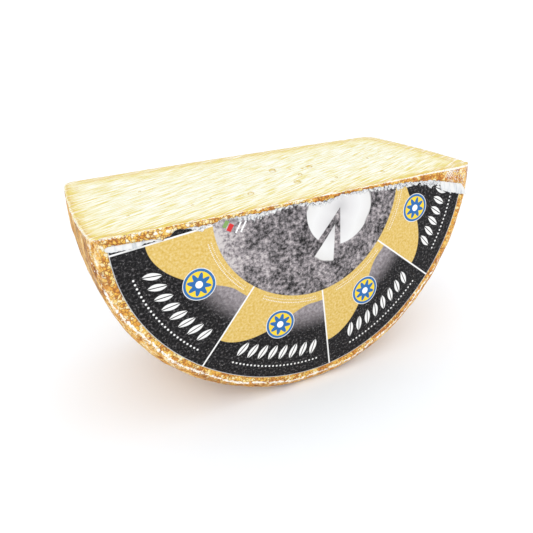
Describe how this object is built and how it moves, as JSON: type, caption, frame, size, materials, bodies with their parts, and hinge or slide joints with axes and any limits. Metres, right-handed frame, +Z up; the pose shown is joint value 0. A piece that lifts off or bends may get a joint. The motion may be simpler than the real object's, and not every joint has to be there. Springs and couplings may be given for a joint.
{
  "type": "half wheel of pecorino cheese",
  "caption": "Half wheel of semi-hard sheep's milk cheese standing on its round rind, cut face up, with a torn paper label on its flat face.",
  "frame": {"origin": "middle of the small flat spot that the rind stands on, at floor level, below the middle of the cut face", "axes": "+X along the cut face's length, -Y out of the labelled face, +Z up out of the cut face"},
  "size_m": [0.2268, 0.1133, 0.1159],
  "materials": {
    "rind": "dry brushed golden-brown cheese rind, with ivory yellow paste on the cut face",
    "printed_paper": "coated paper printed black, gold and grey, with white torn edges"
  },
  "bodies": {
    "root": {"cheese": "rind", "label": "printed_paper"}
  },
  "joints": []
}
